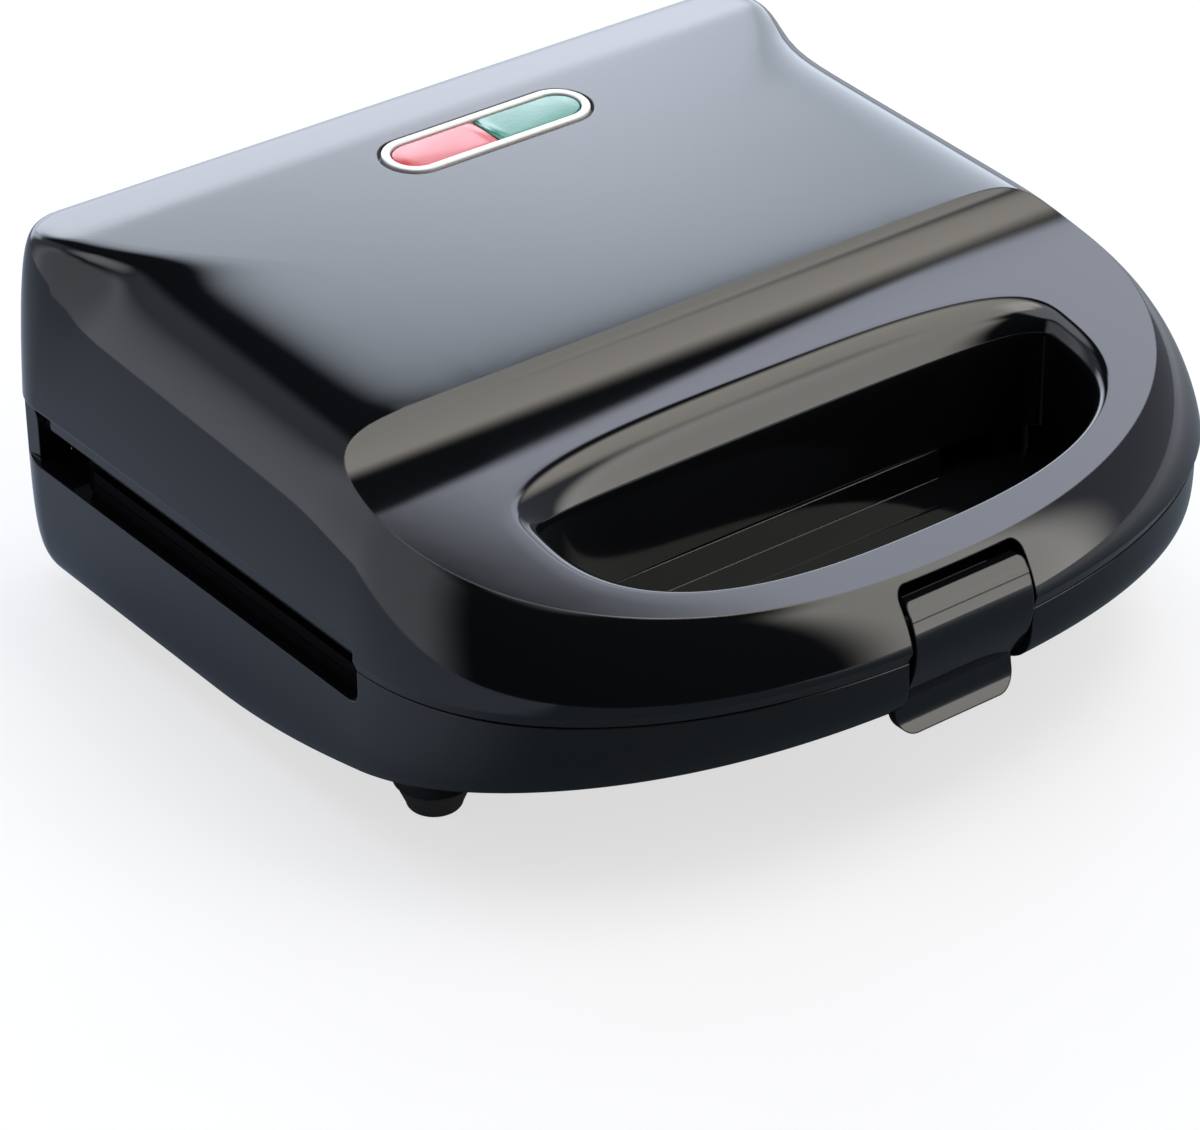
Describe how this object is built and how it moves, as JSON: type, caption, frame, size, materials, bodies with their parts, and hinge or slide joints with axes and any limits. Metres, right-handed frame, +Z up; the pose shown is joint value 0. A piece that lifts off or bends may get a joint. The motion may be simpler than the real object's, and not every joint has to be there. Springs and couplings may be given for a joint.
{
  "type": "sandwich maker",
  "caption": "Two-slice sandwich maker: gloss black base and hinged lid with a D-shaped grip, pocketed cooking plates, indicator window and front latch.",
  "frame": {"origin": "middle of the outline on the table, under the feet", "axes": "+X to the right seen from the grip, +Y from the grip towards the hinge, +Z up"},
  "size_m": [0.2296, 0.2196, 0.0955],
  "materials": {
    "housing": "gloss black moulded plastic",
    "plate": "cast, dark non-stick coating",
    "steel": "bare steel",
    "element": "heat-darkened tube",
    "sheet": "bright sheet",
    "ceramic": "matte ceramic",
    "white_plastic": "white, satin",
    "satin_black": "satin black",
    "red_lens": "translucent red",
    "green_lens": "translucent teal green, ribbed",
    "lamp_glass": "clear",
    "sleeve": "woven glass-fibre sleeve",
    "rubber": "matte black"
  },
  "bodies": {
    "base": {"lower_housing": "housing", "lower_cooking_plate": "plate", "lower_heating_element": "element", "lower_heat_reflector": "sheet", "lower_plate_screw_front": "steel", "lower_plate_screw_middle": "steel", "lower_plate_screw_rear": "steel", "lower_element_clamp_left": "steel", "lower_element_clamp_right": "steel", "lower_element_bead_left": "ceramic", "lower_element_bead_right": "ceramic", "thermostat": "ceramic", "terminal_block": "white_plastic", "lower_lead_left": "sleeve", "lower_lead_right": "sleeve", "cord_gland": "satin_black", "hinge_pin_left": "steel", "hinge_pin_right": "steel", "foot_front_left": "rubber", "foot_front_right": "rubber", "foot_rear_left": "rubber", "foot_rear_right": "rubber"},
    "lid": {"upper_housing": "housing", "upper_cooking_plate": "plate", "upper_heating_element": "element", "upper_heat_reflector": "sheet", "upper_plate_screw_front": "steel", "upper_plate_screw_middle": "steel", "upper_plate_screw_rear": "steel", "upper_element_clamp_left": "steel", "upper_element_clamp_right": "steel", "upper_element_bead_left": "ceramic", "upper_element_bead_right": "ceramic", "thermal_fuse": "lamp_glass", "upper_lead_left": "sleeve", "upper_lead_right": "sleeve", "window_bezel": "white_plastic", "red_lens": "red_lens", "green_lens": "green_lens", "red_lamp": "lamp_glass", "green_lamp": "lamp_glass", "lamp_holder": "satin_black", "latch_pin": "steel"},
    "latch": {"latch_clip": "housing"}
  },
  "joints": [
    {"name": "lid_hinge", "type": "hinge", "parent": "base", "child": "lid", "pos_m": [0, 0.103, 0.048], "axis": [-1, 0, 0], "range_deg": [0, 100]},
    {"name": "latch_pivot", "type": "hinge", "parent": "lid", "child": "latch", "pos_m": [0, -0.1048, 0.0554], "axis": [-1, 0, 0], "range_deg": [0, 35]}
  ]
}
